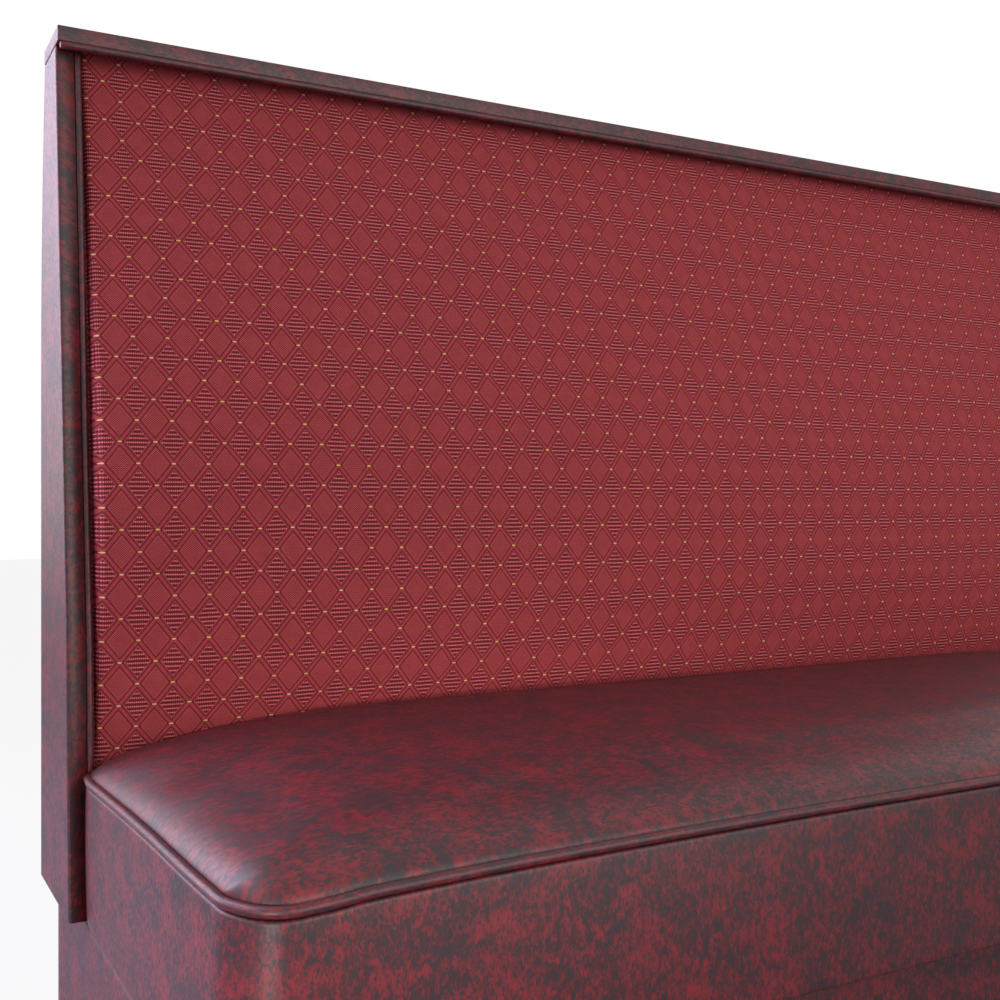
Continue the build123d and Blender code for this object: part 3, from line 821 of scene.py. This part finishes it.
def seat_boxing():
    """Padded upright band of the seat: its top edge rolls in under the welt, drawn in at the corners."""
    rear = panel_front(BOXING_LOW.z) - PANEL_GAP
    edges = in_mm(0, 0.6, 1.6, 3, 5, 8)
    path = seat_path(BOXING_HIGH.x, BOXING_LOW.y, rear, CORNER_RADIUS, 10 * MM, edges)
    roll, fold, low = 4 * MM, 3 * MM, BOXING_LOW.z
    rear_round, lean_reach, fullness = 7 * MM, 60 * MM, 1.4 * MM
    play, thin, step_length = 0.5 * MM, 5.5 * MM, 7 * MM
    steps_up = 22
    rng = Random(11)
    waves = [(rng.uniform(3, 9), rng.uniform(0, 6), rng.uniform(0.15, 0.4) * MM) for _ in range(6)]
    rings = []
    for along, (x, y), out in measured(path):
        # The top edge lies just under the welt, and a little lower along the front
        top = SEAT_TOP - (0.6 + 0.3 * abs(out[1])) * MM + seam_rise(x, y)
        from_rear = rear - y
        top -= rear_round * (1 - quarter(from_rear / rear_round))
        height = top - low
        ripple = sum(size * math.sin(along * rate + phase) for rate, phase, size in waves)
        ring = []
        profile = [(fold * (1 - math.sin(a)), low + fold * (1 - math.cos(a))) for a in turns(5)]
        for share in (i / steps_up for i in range(1, steps_up)):
            swell = (fullness + ripple) * math.sin(math.pi * share) ** 0.8
            profile.append((-swell, low + fold + (height - fold - roll) * share))
        profile += [(roll * (1 - math.cos(a)), top - roll + roll * math.sin(a)) for a in turns(7)]
        for depth, z in profile:
            share = (z - low) / height
            # The lower edge is drawn in by 45% of the pull, and the top edge by all of it
            pull = CORNER_PULL * (0.45 + 0.55 * share)
            px, py = drawn_in(x - out[0] * depth, y - out[1] * depth, pull)
            lean = (panel_front(z) - panel_front(low)) * (1 - smooth(from_rear / lean_reach))
            ring.append((px, py + lean, z))
        # Flat inner face: along the seat frame, and further out beside the back frame
        beside = smooth((y - BACK_FRAME_Y) / step_length) * abs(out[0])
        inner = BOXING_DEPTH - play - (BOXING_DEPTH - thin) * beside
        for z in (top - 0.8 * MM, low + play):
            ring.append((x - out[0] * inner, y - out[1] * inner, z))
        rings.append(ring)
    piece = sleeve("seat_boxing_cover", rings)
    finished(piece, "vinyl", "seat_boxing", "boxing_foam")


def seat_welt():
    """Welt cord round the seat, along the drawn-in seam."""
    half, front = BOXING_HIGH.x - WELT_SET_IN, BOXING_LOW.y + WELT_SET_IN
    rear = panel_front(SEAT_TOP) - PANEL_GAP
    path = []
    for (x, y), _ in seat_path(half, front, rear, CORNER_RADIUS - WELT_SET_IN, 8 * MM):
        px, py = drawn_in(x, y, CORNER_PULL)
        path.append((px, py, SEAT_TOP + WELT_RADIUS + seam_rise(x, y)))
    return cord("seat_welt_cord", path, WELT_RADIUS, "seat_welt")


def end_rise_at(reach):
    """Share of the crown's height at a distance in from the end: a round shoulder and a long slow rise."""
    return 0.55 * quarter(reach / SHOULDER_REACH) + 0.45 * quarter(reach / END_REACH)


def crown_at(x, y, front_y, rear_y):
    """Height of the seat's crown over its seam."""
    from_front = y - front_y
    end_rise = end_rise_at(COVER_HALF - abs(x))
    front_rise = quarter(from_front / FRONT_REACH)
    if min(end_rise, front_rise) <= 0:
        return 0.0
    to_corner = math.hypot(COVER_HALF - abs(x), from_front)
    sharp = MITRE_SOFT + MITRE_SHARPER * math.exp(-((to_corner / MITRE_REACH) ** 2))
    both = (end_rise**-sharp + front_rise**-sharp - 1) ** (-1 / sharp)
    rear_roll = quarter((rear_y - y) / REAR_ROLL)
    # The rear edge has 72% of the crown's height, and rolls up from there
    return CROWN * both * (0.72 + 0.28 * rear_roll)


def pad_depth(z, reach):
    """Thickness of the back pad at a height, at a distance in from its end."""
    share = (z - PAD_LOW.z) / (PAD_HIGH.z - PAD_LOW.z)
    levels = (PAD_EDGE, PAD_END, PAD_MIDDLE)
    edge, end, middle = (smooth_through(PAD_LEVELS, shares, share) for shares in levels)
    inner = reach - PAD_GROOVE - PAD_ROLL
    if inner < 0:
        depth = edge + (end - edge) * quarter((reach - PAD_GROOVE) / PAD_ROLL)
    else:
        depth = end + (middle - end) * (1 - math.exp(-inner / PAD_REACH))
    return PAD_THICKNESS * depth


def seat_rear(x):
    """Y of the seat cover's rear edge: just in front of the end panels and of the back pad."""
    reach = max(0, PAD_HIGH.x - abs(x))
    crown_z = SEAT_TOP + WELT_RADIUS + CROWN * end_rise_at(COVER_HALF - abs(x))
    pad_face = board_front(crown_z) - pad_depth(crown_z, reach)
    panel_gap, pad_gap = 2.2 * MM, 2 * MM
    return smooth_min(panel_front(SEAT_TOP) - panel_gap, pad_face - pad_gap, blend=10 * MM)


def seat_front(x):
    """Y of the seat cover's front edge, round its corners."""
    reach = COVER_HALF - abs(x)
    if reach >= COVER_ROUND:
        return COVER_FRONT
    return COVER_FRONT + COVER_ROUND - math.sqrt(COVER_ROUND**2 - (COVER_ROUND - reach) ** 2)


def seat_cushion():
    """Crowned seat cushion: it rises from the welt, with a mitre at the corners, and rolls at the rear."""

    def face(s, t):
        x = -COVER_HALF + 2 * COVER_HALF * s
        front_y, rear_y = seat_front(x), seat_rear(x)
        y = front_y + (rear_y - front_y) * t
        z = SEAT_TOP + WELT_RADIUS * 1.1 + seam_rise(x, y) + crown_at(x, y, front_y, rear_y)
        return (*drawn_in(x, y, CORNER_PULL, tucked=False), z)

    shift = relaxed(face, columns=140, rows=44, pressure=0.6, limit=2.5 * MM)
    close = in_mm(0, 0.4, 1.2, 2.5, 4.5, 7, 10, 14, 19, 25)
    xs = spread(-COVER_HALF, COVER_HALF, 8 * MM, close)
    back = spread(0, 1, 1 / 60, (0, 0.0008, 0.0025, 0.005, 0.009, 0.014, 0.02, 0.028, 0.038))
    grid, places = [], []
    for s in ((x + COVER_HALF) / (2 * COVER_HALF) for x in xs):
        grid.append([tuple(Vector(face(s, t)) + shift(s, t)) for t in back])
        places.append([(p[1], p[0]) for p in grid[-1]])

    def wall(point, place):
        # Down to just over the deck, and always at least a millimetre down
        floor_z = min(SEAT_TOP + 0.3 * MM, point[2] - 1 * MM)
        return (point[0], point[1], floor_z), place

    piece = face_outwards(shell("seat_cushion", grid, places, [wall]), (0, 0, SEAT_TOP))
    finished(piece, "vinyl", "seat_cover", "seat_foam")


def back_pad():
    """Back pad: its fabric swells from the welts and the cap to a full lower back."""
    length, height = 2 * PAD_HIGH.x, PAD_HIGH.z - PAD_LOW.z
    lip_height = 6 * MM

    def face(s, t):
        x, z = PAD_LOW.x + length * s, PAD_LOW.z + height * t
        lip = quarter((z - PAD_LOW.z) / lip_height)
        return (x, board_front(z) - pad_depth(z, PAD_HIGH.x - abs(x)) * lip, z)

    shift = relaxed(face, columns=140, rows=68, pressure=0.6, limit=2 * MM)
    close = in_mm(0, 3.3, 3.5, 3.7, 4.1, 4.8, 5.8, 7.2, 9, 11, 14)
    xs = spread(PAD_LOW.x, PAD_HIGH.x, 9 * MM, close)
    zs = spread(PAD_LOW.z, PAD_HIGH.z, 8 * MM, in_mm(0, 0.3, 1, 2.2, 4, 6))
    # The lattice runs down the face, measured over its slope in the middle
    steepest = 1.5
    down = {zs[-1]: LATTICE_TOP - PAD_HIGH.z}
    for low, high in reversed(list(zip(zs, zs[1:]))):
        low_y, high_y = (face(0.5, (z - PAD_LOW.z) / height)[1] for z in (low, high))
        slope = (high_y - low_y) / (high - low)
        down[low] = down[high] + (high - low) * min(steepest, math.hypot(1, slope))
    grid, places = [], []
    for z in zs:
        row, place = [], []
        for x in xs:
            s, t = (x - PAD_LOW.x) / length, (z - PAD_LOW.z) / height
            row.append(tuple(Vector(face(s, t)) + shift(s, t)))
            place.append((x - LATTICE_LEFT, down[z]))
        grid.append(row)
        places.append(place)

    middle = ((places[0][0][0] + places[0][-1][0]) / 2, (down[zs[0]] + down[zs[-1]]) / 2)
    half = ((places[0][-1][0] - places[0][0][0]) / 2, (down[zs[0]] - down[zs[-1]]) / 2)

    def wall(point, place):
        board = board_front(point[2]) - 0.3 * MM
        return (point[0], board, point[2]), grown(place, middle, half, board - point[1])

    piece = face_outwards(shell("back_pad", grid, places, [wall]), (0, 250 * MM, 800 * MM))
    finished(piece, "woven_fabric", "back_fabric", "back_foam")


def stretched(piece, inside, node):
    """Makes an open face a vinyl sheet stretched over a board, as thick as a cover towards a place inside."""
    face_outwards(piece, inside)
    solid = piece.modifiers.new("thickness", "SOLIDIFY")
    solid.thickness = SKIN
    solid.offset = -1
    finished(piece, "vinyl", node)


def end_panel(side, word):
    """Vinyl over an end panel board: its outer face, soft edges and turned-in sides."""
    edge = 3 * MM
    close = in_mm(0, 0.15, 0.5, 1.1, 2, 3, 6)
    grid, places = [], []
    for z in spread(PANEL_LOW.z, COVER_TOP, 14 * MM, close):
        front, rear = panel_front(z), rear_face(z)
        row = []
        for y in spread(front, rear, (rear - front - 12 * MM) / 12, close):
            near = min(y - front, rear - y, z - PANEL_LOW.z, COVER_TOP - z)
            row.append((side * (HALF_LENGTH - edge + edge * quarter(near / edge)), y, z))
        grid.append(row)
        places.append([(p[1], p[2]) for p in row])
    middle_y, middle_z = REAR_Y - PANEL_LOW_DEPTH / 2, (PANEL_LOW.z + CAP_BOTTOM) / 2
    half_y, half_z = PANEL_LOW_DEPTH / 2, (CAP_BOTTOM - PANEL_LOW.z) / 2
    depth = HALF_LENGTH - FRAME_HALF - edge

    def wall(point, place):
        place = grown(place, (middle_y, middle_z), (half_y, half_z), depth)
        return (side * (FRAME_HALF + 0.1 * MM), point[1], point[2]), place

    piece = shell(f"end_panel_{word}_wrap", grid, places, [wall], back=False)
    inside = (side * FRAME_HALF, middle_y + 40 * MM, middle_z)
    stretched(piece, inside, f"end_panel_cover_{word}")


def panel_welt(side, word):
    """Welt between an end panel's front edge and the back fabric."""
    x = side * (FRAME_HALF - 0.2 * MM - SMALL_WELT_RADIUS)
    gap = 1.2 * MM
    heights = spread(SEAT_TOP + gap, CAP_BOTTOM - gap, 12 * MM)
    path = [(x, panel_front(z) + SMALL_WELT_RADIUS - 1 * MM, z) for z in heights]
    return cord(f"end_panel_{word}_welt_cord", path, SMALL_WELT_RADIUS, f"end_panel_welt_{word}")


def top_cap():
    """Vinyl over the cap board, turned in under its edges."""
    edge, lap = 1.1 * MM, 20 * MM
    close = in_mm(0, 0.06, 0.2, 0.45, 0.75, 1.1, 4)
    grid, places = [], []
    for x in spread(-HALF_LENGTH, HALF_LENGTH, 16 * MM, close):
        row = []
        for y in spread(CAP_LOW.y, CAP_HIGH.y, 10 * MM, close):
            near = min(HALF_LENGTH - abs(x), y - CAP_LOW.y, CAP_HIGH.y - y)
            row.append((x, y, CAP_HIGH.z - edge + edge * quarter(near / edge)))
        grid.append(row)
        places.append([(p[1], p[0]) for p in row])
    middle, half = (CAP_LOW.y + CAP_HIGH.y) / 2, (CAP_HIGH.y - CAP_LOW.y) / 2

    def ring(inwards, z, grow):
        def place_of(point, place):
            x = point[0] * (HALF_LENGTH - inwards) / HALF_LENGTH
            y = middle + (point[1] - middle) * (half - inwards) / half
            return (x, y, z), grown(place, (middle, 0), (half, HALF_LENGTH), grow)

        return place_of

    rise = CAP_HIGH.z - CAP_LOW.z
    rings = [ring(edge * (1 - math.cos(a)), CAP_LOW.z + edge * (1 - math.sin(a)), rise) for a in turns(5)]
    rings.append(ring(lap, CAP_LOW.z, rise + lap))
    piece = shell("cap_wrap", grid, places, rings, back=False)
    stretched(piece, (0, middle, CAP_LOW.z + rise / 2), "cap_cover")


def cap_bead():
    """Bead under the cap's front edge."""
    forward, sunk = 0.8 * MM, 1.5 * MM
    y, z = CAP_LOW.y + BEAD_RADIUS - forward, CAP_LOW.z - BEAD_RADIUS + sunk
    path = [(x, y, z) for x in spread(BEAD_LOW.x, BEAD_HIGH.x, 20 * MM)]
    return cord("cap_bead_cord", path, BEAD_RADIUS, "cap_bead")


def rear_wrap():
    """Vinyl stretched over the rear."""
    edge, tucked = 2 * MM, 4 * MM
    close = in_mm(0, 0.2, 0.8, 2, 4)
    grid, places = [], []
    for z in spread(REAR_LOW.z, COVER_TOP, 16 * MM, close):
        row = []
        for x in spread(-FRAME_HALF, FRAME_HALF, 20 * MM, close):
            near = min(FRAME_HALF - abs(x), z - REAR_LOW.z, COVER_TOP - z)
            row.append((x, rear_face(z) - 0.15 * MM * (1 - quarter(near / edge)), z))
        grid.append(row)
        places.append([(p[0], p[2]) for p in row])
    piece = shell("rear_wrap", grid, places, [], back=False)
    stretched(piece, (0, 0, 800 * MM), "rear_cover")


def base_wrap():
    """Vinyl round the front and sides of the base, turned under the boards' lower edges."""
    bend, lap, corner = 1.8 * MM, 15 * MM, 2.5 * MM
    bottom = BASE_LOW.z - SKIN
    path = seat_path(BASE_HIGH.x, BASE_LOW.y, BASE_HIGH.y, corner, 20 * MM)
    grid, places = [], []
    inner_x, inner_y = BASE_HIGH.x - lap, BASE_LOW.y + lap
    for along, (x, y), out in measured(path):
        row = [(x, y, BASE_LOW.z + (BASE_HIGH.z - BASE_LOW.z) * i / 12) for i in range(12, 0, -1)]
        for a in turns(5):
            depth = bend * (1 - math.cos(a))
            row.append((x - out[0] * depth, y - out[1] * depth, bottom + bend * (1 - math.sin(a))))
        lap_x = math.copysign(min(abs(x), inner_x) + 0.5 * MM * abs(out[0]), x)
        row.append((lap_x, max(y, inner_y) + 0.5 * MM * out[1], bottom))
        grid.append(row)
        heights = [p[2] for p in row[:-1]] + [bottom - lap]
        places.append([(along, h) for h in heights])
    piece = shell("base_wrap", grid, places, [], back=False)
    stretched(piece, (0, 40 * MM, 120 * MM), "base_cover")


# Screws and staples
def screw_maker():
    """Cross-slotted screw heads on points, turned towards +X, each slot at a chance angle."""
    maker = Maker("cross_slot_screws", radius=4 * MM, rise=2.2 * MM, seed=3)
    radius, rise = maker.given("radius"), maker.given("rise")
    top_share, slot_length, slot_width = 0.62, 1.15, 0.24
    inputs = {"Vertices": 18, "Radius Top": radius * top_share, "Radius Bottom": radius, "Depth": rise}
    head = maker.node("GeometryNodeMeshCone", {"fill_type": "NGON"}, inputs)
    for turn in (0, math.pi / 2):
        size = maker.vector(radius * slot_length, radius * slot_width, rise)
        cutter = maker.node("GeometryNodeMeshCube", None, {"Size": size})
        cutter = maker.moved(cutter, Translation=maker.vector(z=rise), Rotation=(0, 0, turn))
        inputs = {"Mesh 1": head, "Mesh 2": cutter}
        head = maker.node("GeometryNodeMeshBoolean", {"operation": "DIFFERENCE"}, inputs)
    head = maker.moved(head, Rotation=(0, math.pi / 2, 0))
    return maker.on_points(head, maker.vector(maker.chance(0.0, math.pi)))


def staple_maker():
    """Flat wire staples on points, lying level and a little askew."""
    maker = Maker("wire_staples", width=10 * MM, wire=1.1 * MM, seed=5)
    size = maker.vector(maker.given("width"), maker.given("wire"), maker.given("wire") * 0.6)
    crown = maker.node("GeometryNodeMeshCube", None, {"Size": size})
    askew = 0.25
    turn = maker.vector(z=maker.chance(-askew, askew) + maker.named("heading"))
    return maker.on_points(crown, turn)


def fixings(name, maker, places, headings=None):
    """Plain mesh of small steel pieces, one at each place."""
    mesh = new_mesh(name, places)
    if headings:
        mesh.attributes.new("heading", "FLOAT", "POINT").data.foreach_set("value", headings)
    return finished(maker.run(linked(name, mesh)), "zinc_steel")


def plate_screws():
    """Four screws in each joining plate between the seat frame and the base."""
    places = [(x, y, z) for x in PLATE_FACES for y in PLATE_MIDDLES for z in PLATE_SCREW_HEIGHTS]
    return fixings("plate_screws", screw_maker(), places)


def staples():
    """Staples through the dust cover's front edge and the turned-under vinyl of the base."""
    pitch, proud = 55 * MM, 0.3 * MM
    bottom = BASE_LOW.z - SKIN - proud
    xs = spread(DUST_LOW.x + 60 * MM, DUST_HIGH.x - 60 * MM, pitch)
    front = [(x, DUST_LOW.y + 9 * MM, DUST_LOW.z - proud) for x in xs]
    xs = spread(BASE_LOW.x + 40 * MM, BASE_HIGH.x - 40 * MM, pitch)
    front += [(x, BASE_LOW.y + 10 * MM, bottom) for x in xs]
    ys = spread(BASE_LOW.y + 50 * MM, BASE_HIGH.y - 40 * MM, pitch)
    sides = [(x, y, bottom) for y in ys for x in (BASE_LOW.x + 10 * MM, BASE_HIGH.x - 10 * MM)]
    headings = [0.0] * len(front) + [math.pi / 2] * len(sides)
    return fixings("staples", staple_maker(), front + sides, headings)


CORDS = cord_maker()
seat_boxing()
seat_welt()
seat_cushion()
back_pad()
for side, word in ((-1, "left"), (1, "right")):
    end_panel(side, word)
    panel_welt(side, word)
top_cap()
cap_bead()
rear_wrap()
base_wrap()
plate_screws()
staples()

# Boards, cloth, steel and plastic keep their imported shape, and get their finish
for row in frame["record"]["subparts"]:
    node = frame["nodes"][row["node"]]
    node.data.materials.clear()
    node.data.materials.append(FINISHES[row["material_slot"]])


# Studio
def studio_floor():
    """Pale floor: near white to the camera, with the object's shadow on it."""
    reach = 14
    corners = [(-reach, -reach, 0), (reach, -reach, 0), (reach, reach, 0), (-reach, reach, 0)]
    mesh = new_mesh("floor", corners, faces=[(0, 1, 2, 3)])
    floor = linked("floor", mesh)
    pale = Finish("pale_floor", Roughness=0.9, Specular_IOR_Level=0.1)
    pale.paint(Base_Color=colour(165, 165, 170))
    lit = pale.node("ShaderNodeEmission", None, {"Color": (1, 1, 1, 1), "Strength": 1.0})
    seen = pale.node("ShaderNodeLightPath", output="Is Camera Ray")
    own = Value(pale, pale.shader.outputs[0])
    both = pale.node("ShaderNodeMixShader", None, {0: seen * 0.9, 1: own, 2: lit})
    pale.links.new(both.socket, pale.nodes["Material Output"].inputs["Surface"])
    mesh.materials.append(pale.material)


def surroundings():
    """White to the camera and in reflections, and dimmer as a light."""
    world = bpy.data.worlds.new("studio")
    scene.world = world
    world.use_nodes = True
    tree = Tree(world.node_tree)
    background = tree.nodes["Background"]
    background.inputs["Color"].default_value = (1, 1, 1, 1)
    path = tree.node("ShaderNodeLightPath", output="Is Camera Ray")
    kinds = path.socket.node.outputs
    shown = path.math("MAXIMUM", Value(tree, kinds["Is Transmission Ray"]))
    shown = shown.math("MAXIMUM", Value(tree, kinds["Is Glossy Ray"]))
    tree.feed(background.inputs["Strength"], AMBIENT + (1 - AMBIENT) * shown)


def lamps():
    """Soft lamps: a key in front, a cool one left, a narrow low one at the corner and a dim one behind."""
    # Name, place, what it points at, size, watts, tint, spread of its beam in degrees
    rows = (
        ("key_lamp", (0.5, -3.0, 1.3), (0.1, 0.15, 0.85), 2.4, 62, (1, 0.99, 0.97), 180),
        ("left_lamp", (-2.4, 1.2, 1.8), (-0.7, 0.0, 0.5), 2.4, 132, (0.82, 0.74, 1), 180),
        ("corner_lamp", (-2.9, -2.6, 0.3), (-0.77, -0.3, 0.14), 0.5, 1.3, (1, 0.95, 0.92), 13),
        ("rear_left_lamp", (-1.8, 3.0, 2.5), (-0.84, 0.26, 0.9), 2.0, 8, (0.78, 0.8, 1), 180),
    )
    for name, place, target, size, power, tint, beam in rows:
        light = bpy.data.lights.new(name, "AREA")
        light.size = size
        light.energy = power
        light.color = tint
        light.spread = math.radians(beam)
        lamp = linked(name, light)
        lamp.location = place
        lamp.rotation_euler = (Vector(target) - Vector(place)).to_track_quat("-Z", "Y").to_euler()
        lamp.visible_camera = False


def camera():
    """Camera at the photograph's place."""
    data = bpy.data.cameras.new("camera")
    data.lens = 44.04
    data.sensor_width = 36
    eye = linked("camera", data)
    eye.location = (-1.063, -1.185, 0.6935)
    eye.rotation_euler = (math.radians(90), 0, math.radians(-28.89))
    scene.camera = eye


studio_floor()
surroundings()
lamps()
camera()
scene.view_settings.view_transform = "Standard"
